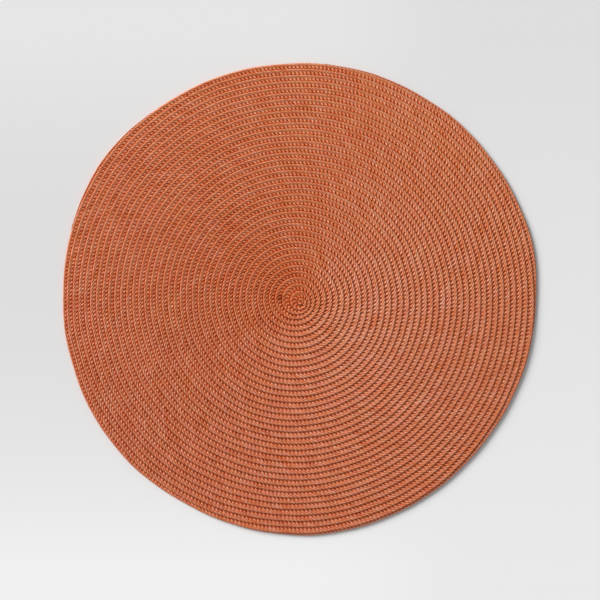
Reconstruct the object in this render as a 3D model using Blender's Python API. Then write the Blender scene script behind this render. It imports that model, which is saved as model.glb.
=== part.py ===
"""Round placemat: one braided cord wound into a flat coil and sewn row to row.

Metres, +Z up. The mat lies on z = 0 with its outline's box centred on the origin. The side that
shows when it lies on a table is the ribbed top. Angles are clockwise seen from above, from +X,
because that is the way the row travels outward, and turns count the rows from the centre.
"""

import bmesh
import bpy
from math import cos, exp, pi, radians, sin

# Cord and coil
ROW_PITCH = 0.00479              # width of one sewn row, so the coil moves out this far in a turn
THICKNESS = 0.0040               # height of the cord's crown above the table
GROOVE_DEPTH = 0.0011            # the seam between two rows lies this far below the crowns
START_ANGLE = 330.0              # where the cord leaves the centre, degrees clockwise
TURNS = 41                       # rows wound before the rim has cut the last of them off

# Rim, as a radius around the coil's centre: an even circle off that centre, with uneven places
RIM_RADIUS = 0.19087
RIM_SHIFT = 0.0033               # the circle's centre lies this far from the coil's
RIM_SHIFT_ANGLE = 353.3          # in this direction, degrees clockwise
RIM_UNEVEN = (                   # (middle in degrees clockwise, half width in degrees, height)
    (213.1, 17.5, 0.00375),
    (345.8, 10.5, 0.00166),
    (271.9, 26.5, -0.00081),
    (42.8, 45.3, -0.00362),
    (116.5, 17.8, -0.00233),
)
LEAST_WIDTH = 0.0003             # where less of a row is left than this, the row is left out
RIM_HEIGHT = 0.0019              # the outer row is widest at this height
UNDER_INSET = 0.0011             # and its foot is drawn in by this much

# Steps along a turn of the coil: up to that turn, the number of steps
STEPS_PER_TURN = ((3, 24), (9, 48), (99, 72))


def steps_of(turn):
    """Number of steps that one turn of the coil is drawn with."""
    return next(steps for last, steps in STEPS_PER_TURN if turn < last)


def rim(angle):
    """Radius of the mat's outline around the coil's centre, at an angle in degrees clockwise."""
    radius = RIM_RADIUS + RIM_SHIFT * cos(radians(angle - RIM_SHIFT_ANGLE))
    for middle, half_width, height in RIM_UNEVEN:
        away = (angle - middle + 180.0) % 360.0 - 180.0
        radius += height * exp(-((away / half_width) ** 2))
    return radius


def edge(turns, angle):
    """Radius of the seam that many turns out: an even spiral, cut off by the rim."""
    radius = max(0.0, ROW_PITCH * turns)
    limit = rim(angle)
    return limit if radius > limit - LEAST_WIDTH else radius


def point(turns, across):
    """A point of the top: across is 0 at the row's inner seam, 0.5 on its crown and 1 at its outer."""
    angle = START_ANGLE + 360.0 * turns
    inner, outer = edge(turns, angle), edge(turns + 1, angle)
    radius = inner + across * (outer - inner)
    crown = sin(pi * across) * min(1.0, radius / ROW_PITCH, (outer - inner) / ROW_PITCH)
    height = THICKNESS - GROOVE_DEPTH * (1.0 - crown)
    return radius * cos(radians(angle)), -radius * sin(radians(angle)), height


def line(bm, across, turn, steps):
    """Vertices along one line of the row over a turn, each with its place in turns."""
    places = [turn + k / steps for k in range(steps + 1)]
    return [(turns, bm.verts.new(point(turns, across))) for turns in places]


def strip(bm, inner, outer):
    """Triangles between two lines of vertices, always stepping on the line that is behind."""
    i = j = 0
    while i < len(inner) - 1 or j < len(outer) - 1:
        next_inner = inner[i + 1][0] if i < len(inner) - 1 else 1e9
        next_outer = outer[j + 1][0] if j < len(outer) - 1 else 1e9
        if next_inner < next_outer - 1e-9:
            bm.faces.new((inner[i][1], inner[i + 1][1], outer[j][1]))
            i += 1
        else:
            bm.faces.new((inner[i][1], outer[j + 1][1], outer[j][1]))
            j += 1


def wind_cord(bm):
    """The ribbed top, turn by turn: inner seam to crown, then crown to outer seam."""
    for turn in range(-1, TURNS):
        inner = line(bm, 0.0, turn, steps_of(turn))
        crown = line(bm, 0.5, turn, steps_of(turn))
        outer = line(bm, 1.0, turn, steps_of(turn + 1))
        strip(bm, inner, crown)
        strip(bm, crown, outer)


def close_below(bm):
    """Rounds the rim down to the table and closes the flat underside."""
    around = [e for e in bm.edges if e.is_boundary]
    for vert in {v for e in around for v in e.verts}:
        vert.co.z = RIM_HEIGHT
    foot = bmesh.ops.extrude_edge_only(bm, edges=around)["geom"]
    for vert in (g for g in foot if isinstance(g, bmesh.types.BMVert)):
        radius = (vert.co.x ** 2 + vert.co.y ** 2) ** 0.5
        vert.co *= (radius - UNDER_INSET) / radius
        vert.co.z = 0.0
    loop = [g for g in foot if isinstance(g, bmesh.types.BMEdge)]
    bmesh.ops.triangle_fill(bm, edges=loop, use_beauty=True, use_dissolve=False)


def centre_outline(bm):
    """Moves the mat so that the box around its outline is centred on the origin."""
    for axis in (0, 1):
        places = [v.co[axis] for v in bm.verts]
        middle = (min(places) + max(places)) / 2
        for vert in bm.verts:
            vert.co[axis] -= middle


def cotton_material():
    """Burnt orange cotton cord."""
    material = bpy.data.materials.new("burnt_orange_cotton")
    material.use_nodes = True
    shader = material.node_tree.nodes["Principled BSDF"]
    shader.inputs["Base Color"].default_value = (0.47, 0.135, 0.062, 1.0)
    shader.inputs["Roughness"].default_value = 0.92
    shader.inputs["Metallic"].default_value = 0.0
    return material


def build_mat(collection):
    """One closed solid: the row's ribs on top, a rounded rim and a flat underside."""
    bm = bmesh.new()
    wind_cord(bm)
    bmesh.ops.remove_doubles(bm, verts=bm.verts, dist=0.00002)
    close_below(bm)
    centre_outline(bm)
    bmesh.ops.triangulate(bm, faces=bm.faces)
    bmesh.ops.recalc_face_normals(bm, faces=bm.faces)
    mesh = bpy.data.meshes.new("coiled_mat")
    bm.to_mesh(mesh)
    bm.free()
    mesh.shade_smooth()
    mesh.set_sharp_from_angle(angle=radians(50))
    mesh.materials.append(cotton_material())
    collection.objects.link(bpy.data.objects.new("coiled_mat", mesh))


def main():
    for old in list(bpy.data.objects):
        bpy.data.objects.remove(old)
    collection = bpy.data.collections.new("braided_placemat")
    bpy.context.scene.collection.children.link(collection)
    build_mat(collection)


main()
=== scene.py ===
import math

import bpy
import numpy as np
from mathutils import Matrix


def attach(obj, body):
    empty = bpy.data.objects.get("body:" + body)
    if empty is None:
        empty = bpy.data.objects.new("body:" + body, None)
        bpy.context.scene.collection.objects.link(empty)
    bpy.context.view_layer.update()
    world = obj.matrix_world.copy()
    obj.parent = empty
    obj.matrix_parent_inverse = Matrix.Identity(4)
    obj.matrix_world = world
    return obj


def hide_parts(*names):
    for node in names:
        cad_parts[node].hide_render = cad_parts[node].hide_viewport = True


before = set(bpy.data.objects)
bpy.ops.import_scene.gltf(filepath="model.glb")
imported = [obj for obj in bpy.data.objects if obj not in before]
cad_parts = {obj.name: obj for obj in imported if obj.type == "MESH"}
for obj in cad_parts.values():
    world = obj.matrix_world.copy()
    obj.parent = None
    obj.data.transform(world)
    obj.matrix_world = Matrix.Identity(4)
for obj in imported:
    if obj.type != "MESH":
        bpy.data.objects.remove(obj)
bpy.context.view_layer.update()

# The coil, in metres, with angles in degrees clockwise from +X seen from above, as in the solid
ROW_PITCH = 0.00479
START_ANGLE = 330.0
COIL_CENTRE = (-0.002658, -0.00072)
RIM_RADIUS, RIM_SHIFT, RIM_SHIFT_ANGLE = 0.19087, 0.0033, 353.3
RIM_UNEVEN = (                       # (middle, half width, height)
    (213.1, 17.5, 0.00375),
    (345.8, 10.5, 0.00166),
    (271.9, 26.5, -0.00081),
    (42.8, 45.3, -0.00362),
    (116.5, 17.8, -0.00233),
)

# The cord's lengths, in turns from the centre
LAST_TURN = 39.352
RIM_LENGTHS = ((39.635, 39.727), (39.856, 40.105))   # short lengths laid outside the last row
CORD_PIECES = 5                      # the long cord is made in this many pieces
MIDDLE_LENGTH = math.pi * ROW_PITCH / 3              # cord in the turn before 0
LEAST_LENGTH = 0.00002

# How the rows lie
MIDDLE_SHIFT, MIDDLE_REACH = (0.0044, -0.0032), 0.0105   # the first rows lie off the coil's centre
CURL_TURNS = 1.6                     # within this many turns the strands run less slantwise
WANDER, WANDER_FROM = 0.00016, 0.01  # the rows stray by this much, from this radius on
SUNKEN = (-0.0143, -0.0001)          # a sunken place beside the middle, darker and redder with painted shade
SUNKEN_REACH, SUNKEN_DEPTH = 0.0028, 0.0007
SUNKEN_FULL_Z = 0.002                # what is higher than this sinks in full, and the foot stays
# painted shade in the sunken place: how much darker and how much redder
SUNKEN_SHADE_DARKER, SUNKEN_SHADE_REDDER = 0.3, 0.15

# A row at the rim: its widest place is at this height, from which it rises in a quarter ellipse
RIM_Z = 0.0016
RIM_FALL_FROM, RIM_FALL_OVER = 0.68, 0.32            # where across the row the quarter ellipse lies
RIM_BLEND = 0.3                      # share of a row over which the rim's section comes in
RIM_SPREAD, RIM_SPREAD_ANGLE = 0.0005, 50.0          # room to spread outward, most at this angle
LEAST_SHARE = 0.03                   # a row that the rim cuts off keeps this share of its width
THIN_HEIGHT = 0.4                    # and this share of its height

# The braid: strands laid slantwise over the cord, one every stitch. Across the cord, from 0 at its
# inner seam to 1 at its outer, go the cord's own height, how far a strand's back stands out of it,
# how far along the cord the strand has run, how narrow its back is and how far it leans
STITCH = 0.00316
GROOVE_Z = 0.00175
SWELL_V = (0.0, 0.1, 0.22, 0.36, 0.52, 0.7, 0.88, 1.0)
SWELL = (0.00078, 0.00128, 0.00088, 0.00103, 0.00122, 0.00172, 0.00176, 0.00112)
STRAND_V = (0.0, 0.14, 0.28, 0.42, 0.5, 0.62, 0.75, 0.88, 1.0)
STRAND = (0.0009, 0.00112, 0.00132, 0.00112, 0.00092, 0.00062, 0.00074, 0.00066, 0.0004)
SLANT_V = (0.0, 0.125, 0.25, 0.375, 0.5, 0.62, 0.75, 0.88, 1.0)
SLANT = (0.0, 0.0010, -0.00045, 0.0, -0.00088, -0.0028, -0.0036, -0.0044, -0.0050)
BACK_V = (0.0, 0.5, 1.0)
NARROW = (0.748, 0.257, -0.38)
LEAN = (0.797, 0.725, 0.531)
ROUNDNESS = 0.83                     # power of the cosine that a strand's back follows
MEAN_BACK = 0.6                      # height of a back at which the cord's own swell lies

# The cord's mesh: where each stitch is cut along its length, as shares of it, and where across
COLUMN_PLACES = (0.111, 0.488, 0.636, 0.82, 0.883)
ACROSS = (0.0, 0.11, 0.196, 0.27, 0.38, 0.5, 0.62, 0.75, 0.88, 1.0)
FOOT_V = (0.85, 0.15)                # the foot's two points on the table
FOOT_COLUMN = slice(4, 5)            # the point across that the foot lies under
# An end is closed by a fan from the two points of the foot, which stays under the strands
OUTER_FOOT, INNER_FOOT, HALFWAY = 10, 11, 5
CAP = np.array([(INNER_FOOT, k, k + 1) for k in range(HALFWAY)] + [(INNER_FOOT, HALFWAY, OUTER_FOOT)]
               + [(OUTER_FOOT, k, k + 1) for k in range(HALFWAY, len(ACROSS) - 1)])
SHARP_ANGLE = 62.0

# The thread between the rows: a disc this far inside the rim, between these heights
THREAD_INSET, THREAD_Z = 0.0016, (0.0004, 0.0007)

# Painted shade across the cord: how bright it is across it, darker at the seams, and how much
# brighter a strand's back is than the hollow; how much paler a strand's back is than the hollow
# beside it, a painted highlight on the back and painted shade in the hollow; and how much redder the
# cord is at the seams, painted shade in the grooves; paler where it is below 0, a painted highlight
# on the outer crest
PAINTED_SHADE_ACROSS_V = (0.0, 0.15, 0.35, 0.55, 0.75, 0.9, 1.0)
PAINTED_SHADE_ACROSS = (0.89, 1.05, 1.10, 1.04, 0.97, 0.92, 0.88)
BACK_PAINTED_SHADE = 0.08
BACK_PAINTED_PALENESS_V = (0.0, 0.2, 0.35, 0.5, 0.7, 1.0)
BACK_PAINTED_PALENESS = (0.6, 1.0, 1.04, 0.72, 0.65, 0.55)
SEAM_PAINTED_SHADE_V = (0.0, 0.25, 0.75, 0.88, 1.0)
SEAM_PAINTED_SHADE = (0.42, 0.0, -0.02, -0.16, 0.12)
FOOT_PAINTED_SHADE = 0.9                      # brightness and paleness of the foot and the thread: a little darker and redder, painted shade under and between the rows

# Each stitch differs a little from the next in height, slant and paleness
UNEVEN_HEIGHT, UNEVEN_SLANT, UNEVEN_PALE = 0.18, 0.012, 0.07
UNEVEN = np.random.default_rng(11).normal(size=(9000, 3))

# The dye, with each value for red, green and blue: the even colour, and the powers to which the
# paleness and the fibres' noise go
COTTON = (0.558, 0.155, 0.0613)
PALE_POWERS = (0.36, 1.6, 2.9)
FUZZ_POWERS = (0.55, 0.98, 1.43)
FUZZ_SCALE, FUZZ_GAIN = 1100.0, 1.5
LEAST_TONE = 0.3                     # paleness and noise stay above this
PAINTED_LIGHT_TURN = (-0.42, 0.42)           # painted light: brighter towards the upper left, as the light falls
# How pale the cotton is by place: an even level, and paler towards +X and +Y
SLOW_TONE_EVEN, SLOW_TONE_SLOPE = 1.02, (0.04, 0.06)
# Around the middle the cotton is darker and redder on one side, towards the upper left, and this
# fades outward, with a darker, redder spot at the very middle
SLOW_TONE_TURN, SLOW_TONE_FADE = (7.24, -3.77), 26.3
SLOW_TONE_SPOT, SLOW_TONE_SPOT_FADE = 0.16, 38.9
# Slow yellow and redder patches and small reddish flecks: what they take from green and blue
YELLOW_SCALE, YELLOW_SLOPE, YELLOW_GREEN, YELLOW_BLUE = 90.0, 0.25, 0.12, 0.15
FLECK_SCALE, FLECK_FROM, FLECK_EDGE, FLECK_GREEN, FLECK_BLUE = 420.0, 0.66, 9.0, 0.13, 0.2
PAINTED_LIGHT_BLUE_SLOPE = 0.2                     # painted light: less blue towards +Y

# The floor's grey, with painted light on it: a curve over y on the left, a slope over y on the
# right, even past both ends
FLOOR_LEVEL = 0.95
FLOOR_ENDS = (-0.215, 0.205)
FLOOR_BEND, FLOOR_DIMMEST_Y, FLOOR_DIMMEST = 2.3, 0.04, 0.723
FLOOR_SLOPE, FLOOR_RIGHT = -0.214, 0.773
FLOOR_SIDE = 0.15                    # the left passes into the right from the middle to here

# The camera straight above, and the studio's light
SIGHT_X, SIGHT_Y, SIGHT_Z = 0.00056, -0.00112, 0.0035    # what it looks at
FRAME_WIDTH = 0.483                  # what the picture takes in at that height
LENS, SENSOR = 100, 36
KEY_AZIMUTH, KEY_ELEVATION = math.radians(145), math.radians(31.5)
KEY_SPREAD, KEY_ENERGY = math.radians(32), 3.92
STUDIO_LIGHT = 0.396


def rim(angle):
    """Outline radius: a circle off the coil's centre, plus a bell curve at each uneven place."""
    radius = RIM_RADIUS + RIM_SHIFT * np.cos(np.radians(angle - RIM_SHIFT_ANGLE))
    for middle, half_width, height in RIM_UNEVEN:
        away = (angle - middle + 180.0) % 360.0 - 180.0
        radius = radius + height * np.exp(-((away / half_width) ** 2))
    return radius


def length_at(turn):
    """Length of cord up to a turn: rolled up from nothing in the turn before 0, whole after it."""
    return MIDDLE_LENGTH + math.pi * ROW_PITCH * (turn * turn + turn)


def turn_at(length):
    """Turns out at a length of cord, the inverse of length_at: a cube root in the turn before 0,
    and then the root of the quadratic."""
    beyond = np.maximum(length - MIDDLE_LENGTH, 0)
    rolled = np.cbrt(np.clip(length / MIDDLE_LENGTH, 0, 1)) - 1
    return rolled + (np.sqrt(1 + 4 * beyond / (math.pi * ROW_PITCH)) - 1) / 2


def columns_between(first, last):
    """The cuts along the cord from one turn to another, counted from the centre."""
    ends = [int(round(length_at(t) / STITCH * len(COLUMN_PLACES))) for t in (first, last)]
    return np.arange(ends[0], ends[1] + 1)


def wander(x, y):
    """How far the rows stray outward at a place: the sum of three long waves that cross the mat."""
    return WANDER * (np.sin(61 * x + 34 * y) + np.sin(88 * y - 47 * x + 1.3)
                     + np.sin(130 * x + 3.1) * np.cos(117 * y))


def strand_back(place, v):
    """How high a strand stands at a place along its stitch, 0 to 1: a cosine to a power, whose wave
    has a sine added to narrow the back and a cosine added to lean it over."""
    wave = 2 * math.pi * (place - 0.5)
    wave = (wave + np.interp(v, BACK_V, NARROW) * np.sin(wave)
            + np.interp(v, BACK_V, LEAN) * (1 - np.cos(wave)) / 2)
    return np.abs(np.cos(wave / 2)) ** ROUNDNESS


def add(name, data):
    """Puts a mesh, a lamp or a camera into the scene."""
    thing = bpy.data.objects.new(name, data)
    bpy.context.scene.collection.objects.link(thing)
    return thing


def tone(mesh, painted_shade, pale_and_shade):
    """Writes the painted shade and the paleness, with its painted shade, of each point, which the
    cotton reads.
    """
    for key, values in (("painted_shade", painted_shade), ("pale_and_shade", pale_and_shade)):
        attribute = mesh.attributes.new(key, "FLOAT", "POINT")
        attribute.data.foreach_set("value", values.astype(np.float32).ravel())


def tube(name, x, y, z):
    """A closed tube through a grid of points, a row of the grid at each cut, with a fan at each end.
    Gives its mesh."""
    n, m = z.shape
    corner = np.arange(n - 1)[:, None] * m + np.arange(m)[None, :]
    beside = np.arange(n - 1)[:, None] * m + (np.arange(m)[None, :] + 1) % m
    quads = np.stack([corner, beside, beside + m, corner + m], -1).reshape(-1, 4)
    faces = quads.tolist() + CAP[:, ::-1].tolist() + (CAP + (n - 1) * m).tolist()
    mesh = bpy.data.meshes.new(name)
    mesh.from_pydata(np.stack([x, y, z], -1).reshape(-1, 3).tolist(), [], faces)
    mesh.shade_smooth()
    mesh.set_sharp_from_angle(angle=math.radians(SHARP_ANGLE))
    for cap in range(len(quads), len(faces)):
        mesh.polygons[cap].use_smooth = False
    return mesh


def cord(name, columns):
    """A length of the cord, laid along the coil. Its top is the cord's own swell plus the strands'
    backs, and each cut across it follows the strands; its foot is flat on the table. At the rim the
    row's width ends at the outline and its outer side is rounded."""
    stitch, step = np.divmod(columns, len(COLUMN_PLACES))
    place = np.array(COLUMN_PLACES)[step][:, None]
    v = np.array(ACROSS)[None, :]
    higher, further, paler = (UNEVEN[stitch % len(UNEVEN), k][:, None] for k in range(3))

    straight = (stitch[:, None] + place) * STITCH
    curl = 1 - np.exp(-(turn_at(straight) + 1) / CURL_TURNS)
    slant = np.interp(v, SLANT_V, SLANT) * (1 + UNEVEN_SLANT * further) * curl
    turn = turn_at(np.maximum(straight + slant, LEAST_LENGTH))
    angle = START_ANGLE + 360 * turn
    rows_left = (rim(angle) - ROW_PITCH * turn) / ROW_PITCH
    at_rim = np.clip(1 - (rows_left - 1) / RIM_BLEND, 0, 1)
    share = np.clip(rows_left, LEAST_SHARE, 1)
    width = share * (ROW_PITCH * np.minimum(turn + 1, 1))
    spread = RIM_SPREAD * (1 + np.cos(np.radians(angle - RIM_SPREAD_ANGLE))) * at_rim
    inner = np.maximum(ROW_PITCH * turn, 0)
    radius = inner + v * (width + spread)

    back = strand_back(place, v)
    strand = np.interp(v, STRAND_V, STRAND) * (back - MEAN_BACK) * (1 + UNEVEN_HEIGHT * higher)
    z = GROOVE_Z + (np.interp(v, SWELL_V, SWELL) + strand)
    outward = np.clip((v - RIM_FALL_FROM) / RIM_FALL_OVER, 0, 1)
    side = RIM_Z + (z - RIM_Z) * np.sqrt(np.maximum(1 - outward ** 2, 0))
    z = np.where(at_rim > 0, side * at_rim + z * (1 - at_rim), z)
    z = RIM_Z + (z - RIM_Z) * (THIN_HEIGHT + (1 - THIN_HEIGHT) * share)
    # painted shade: darker at the seams, brighter on a strand's back and darker in the hollow beside
    # it
    painted_shade = np.interp(v, PAINTED_SHADE_ACROSS_V, PAINTED_SHADE_ACROSS) * (1 + BACK_PAINTED_SHADE * (back - MEAN_BACK))
    # paleness: paler backs and a paler outer crest are painted highlight, redder hollows and seams
    # are painted shade; each stitch's own random paleness is the cotton's
    pale_and_shade = (1 + np.interp(v, BACK_PAINTED_PALENESS_V, BACK_PAINTED_PALENESS) * (back - MEAN_BACK) + UNEVEN_PALE * paler
            - np.interp(v, SEAM_PAINTED_SHADE_V, SEAM_PAINTED_SHADE))

    foot = inner[:, FOOT_COLUMN] + np.array(FOOT_V)[None, :] * width[:, FOOT_COLUMN]
    radius = np.hstack([radius, foot])
    angle = np.radians(np.hstack([angle, angle[:, FOOT_COLUMN] + 0 * foot]))
    z = np.hstack([z, 0 * foot])
    painted_shade, pale_and_shade = (np.hstack([values, FOOT_PAINTED_SHADE + 0 * foot]) for values in (painted_shade, pale_and_shade))

    x, y = radius * np.cos(angle), -radius * np.sin(angle)
    out = np.where(radius > WANDER_FROM, wander(x, y), 0) / np.maximum(radius, WANDER_FROM)
    bell = np.exp(-(radius / MIDDLE_REACH) ** 2)
    x = x * (1 + out) + COIL_CENTRE[0] + MIDDLE_SHIFT[0] * bell
    y = y * (1 + out) + COIL_CENTRE[1] + MIDDLE_SHIFT[1] * bell
    sunken = np.exp(-((x - SUNKEN[0]) ** 2 + (y - SUNKEN[1]) ** 2) / SUNKEN_REACH ** 2)
    z = z - SUNKEN_DEPTH * sunken * np.clip(z / SUNKEN_FULL_Z, 0, 1)

    mesh = tube(name, x, y, z)
    # painted shade in the sunken place
    tone(mesh, painted_shade * (1 - SUNKEN_SHADE_DARKER * sunken), pale_and_shade - SUNKEN_SHADE_REDDER * sunken)
    return add(name, mesh)


def row_stitching():
    """The layer of thread that joins the rows: a thin closed disc inside the rim, above the feet."""
    angle = np.arange(0, 360, 2.0)
    a = np.radians(angle)
    n = len(a)
    radius = rim(angle) - THREAD_INSET
    x, y = COIL_CENTRE[0] + radius * np.cos(a), COIL_CENTRE[1] - radius * np.sin(a)
    points = np.vstack([np.stack([x, y, np.full(n, z)], -1) for z in THREAD_Z])
    faces = [list(range(n)), [n + k for k in range(n)][::-1]]
    faces += [[k, n + k, n + (k + 1) % n, (k + 1) % n] for k in range(n)]
    mesh = bpy.data.meshes.new("row_stitching")
    mesh.from_pydata(points.tolist(), [], faces)
    # painted shade: the thread a little darker and redder
    even = np.full(2 * n, FOOT_PAINTED_SHADE)
    tone(mesh, even, even)
    return add("row_stitching", mesh)


class Value:
    """A number or colour that a node gives; each operator on it adds its Math node."""

    def __init__(self, shader, socket):
        self.shader, self.socket = shader, socket

    def math(self, operation, *others):
        return self.shader.node("ShaderNodeMath", {"operation": operation}, self, *others)

    def __add__(self, other):
        return self.math("ADD", other)

    def __sub__(self, other):
        return self.math("SUBTRACT", other)

    def __rsub__(self, other):
        return self.shader.node("ShaderNodeMath", {"operation": "SUBTRACT"}, other, self)

    def __mul__(self, other):
        return self.math("MULTIPLY", other)

    def __pow__(self, other):
        return self.math("POWER", other)

    __radd__, __rmul__ = __add__, __mul__

    def clamped(self):
        return self.shader.node("ShaderNodeClamp", {}, self)


class Shader:
    """A material and the nodes in it."""

    def __init__(self, name, **constants):
        self.material = bpy.data.materials.new(name)
        self.material.use_nodes = True
        self.tree = self.material.node_tree
        self.surface = self.tree.nodes["Principled BSDF"]
        for socket, value in constants.items():
            self.surface.inputs[socket.replace("_", " ")].default_value = value

    def node(self, kind, settings, *values, output=0, **named):
        """A node of a type, with its settings made first and then its sockets' values or links."""
        node = self.tree.nodes.new(kind)
        for key, value in settings.items():
            setattr(node, key, value)
        for key, value in [*enumerate(values), *named.items()]:
            socket = node.inputs[key.replace("_", " ") if isinstance(key, str) else key]
            if isinstance(value, Value):
                self.tree.links.new(value.socket, socket)
            else:
                socket.default_value = value
        return Value(self, node.outputs[output])

    def noise(self, where, scale, detail):
        return self.node("ShaderNodeTexNoise", {}, where, Scale=scale, Detail=detail, output="Fac")

    def colour(self, red, green, blue):
        """Feeds the surface's colour."""
        mixed = self.node("ShaderNodeCombineColor", {}, red, green, blue)
        self.tree.links.new(mixed.socket, self.surface.inputs["Base Color"])


def cotton():
    """Burnt orange cotton. Each channel is its even amount times the paleness, which carries painted
    shade, and the fibres' noise, both to the channel's own powers, times the painted shade across
    the cord and a painted light that is brighter towards the upper left. Red's powers are low, so
    where the cotton is paler it also turns yellower."""
    s = Shader("burnt_orange_cotton", Roughness=0.92, Metallic=0.0, Specular_IOR_Level=0.1)
    where = s.node("ShaderNodeTexCoord", {}, output="Object")
    x, y = (s.node("ShaderNodeSeparateXYZ", {}, where, output=k) for k in ("X", "Y"))
    away = s.node("ShaderNodeVectorMath", {"operation": "LENGTH"}, where, output="Value")
    painted_shade, pale_and_shade = (s.node("ShaderNodeAttribute", {"attribute_name": key}, output="Fac")
                  for key in ("painted_shade", "pale_and_shade"))

    # paleness by place: darker and redder towards the upper left around the middle, and at the very
    # middle
    slow_tone = (x * SLOW_TONE_TURN[0] + y * SLOW_TONE_TURN[1]) * (away * -SLOW_TONE_FADE).math("EXPONENT")
    slow_tone = slow_tone - ((away * SLOW_TONE_SPOT_FADE) ** 2.0 * -1.0).math("EXPONENT") * SLOW_TONE_SPOT
    slow_tone = slow_tone + x * SLOW_TONE_SLOPE[0] + y * SLOW_TONE_SLOPE[1] + SLOW_TONE_EVEN
    pale_and_shade = (pale_and_shade * slow_tone).math("MAXIMUM", LEAST_TONE)
    fuzz = (s.noise(where, FUZZ_SCALE, 2.0) - 0.5) * FUZZ_GAIN + 1.0
    fuzz = fuzz.math("MAXIMUM", LEAST_TONE)
    # painted light: brighter towards the upper left, darker towards the lower right
    painted_light = x * PAINTED_LIGHT_TURN[0] + y * PAINTED_LIGHT_TURN[1] + 1.0
    red, green, blue = (pale_and_shade ** power * fuzz ** soft * amount * painted_shade * painted_light
                        for power, soft, amount in zip(PALE_POWERS, FUZZ_POWERS, COTTON))

    yellow = (x + y) * YELLOW_SLOPE + s.noise(where, YELLOW_SCALE, 2.0) - 0.5
    fleck = ((s.noise(where, FLECK_SCALE, 1.0) - FLECK_FROM) * FLECK_EDGE).clamped()
    green = green * (1.0 - fleck * FLECK_GREEN + yellow * YELLOW_GREEN)
    # painted light: less blue towards +Y
    blue = blue * (1.0 - fleck * FLECK_BLUE - yellow * YELLOW_BLUE - y * PAINTED_LIGHT_BLUE_SLOPE)
    s.colour(red, green, blue)
    return s.material


def pale_floor():
    """Pale matt studio floor with painted light: dimmest a little above the mat's middle on the
    left, brighter towards the bottom, and evened out on the right."""
    s = Shader("pale_floor", Roughness=0.9, Metallic=0.0)
    where = s.node("ShaderNodeTexCoord", {}, output="Object")
    x, y = (s.node("ShaderNodeSeparateXYZ", {}, where, output=k) for k in ("X", "Y"))
    y = y.math("MINIMUM", FLOOR_ENDS[1]).math("MAXIMUM", FLOOR_ENDS[0])
    side = s.node("ShaderNodeMapRange", {"interpolation_type": "SMOOTHSTEP"}, x,
                  From_Min=0.0, From_Max=FLOOR_SIDE)
    left = (y - FLOOR_DIMMEST_Y) ** 2.0 * FLOOR_BEND + FLOOR_DIMMEST
    right = y * FLOOR_SLOPE + FLOOR_RIGHT
    grey = (left + (right - left) * side) * FLOOR_LEVEL
    s.colour(grey, grey, grey)
    return s.material


# The mat
orange = cotton()
whole = np.arange(0, columns_between(0, LAST_TURN)[-1] + 1)
cuts = np.linspace(0, len(whole) - 1, CORD_PIECES + 1).astype(int)
cords = [cord(f"cord_{k + 1}", whole[cuts[k]:cuts[k + 1] + 1]) for k in range(CORD_PIECES)]
cords += [cord(f"rim_length_{k + 1}", columns_between(*ends)) for k, ends in enumerate(RIM_LENGTHS)]
stitching = row_stitching()
for piece in [stitching, *cords]:
    piece.data.materials.append(orange)
    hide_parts("coiled_mat")
    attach(piece, "root")

# The floor that it lies on
floor_mesh = bpy.data.meshes.new("floor")
floor_mesh.from_pydata([(-4, -4, 0), (4, -4, 0), (4, 4, 0), (-4, 4, 0)], [], [(0, 1, 2, 3)])
floor = add("floor", floor_mesh)
floor.data.materials.append(pale_floor())

# Camera and light
camera = add("camera", bpy.data.cameras.new("camera"))
camera.data.lens = LENS
camera.data.sensor_width = SENSOR
camera.location = (SIGHT_X, SIGHT_Y, SIGHT_Z + FRAME_WIDTH / 2 / (SENSOR / 2 / LENS))
bpy.context.scene.camera = camera

sun = add("key", bpy.data.lights.new("key", "SUN"))
sun.data.energy = KEY_ENERGY
sun.data.angle = KEY_SPREAD
sun.rotation_euler = (0, math.radians(90) - KEY_ELEVATION, KEY_AZIMUTH)
world = bpy.data.worlds.new("studio")
world.use_nodes = True
world.node_tree.nodes["Background"].inputs["Color"].default_value = (1, 1, 1, 1)
world.node_tree.nodes["Background"].inputs["Strength"].default_value = STUDIO_LIGHT
bpy.context.scene.world = world
bpy.context.scene.view_settings.view_transform = "Standard"
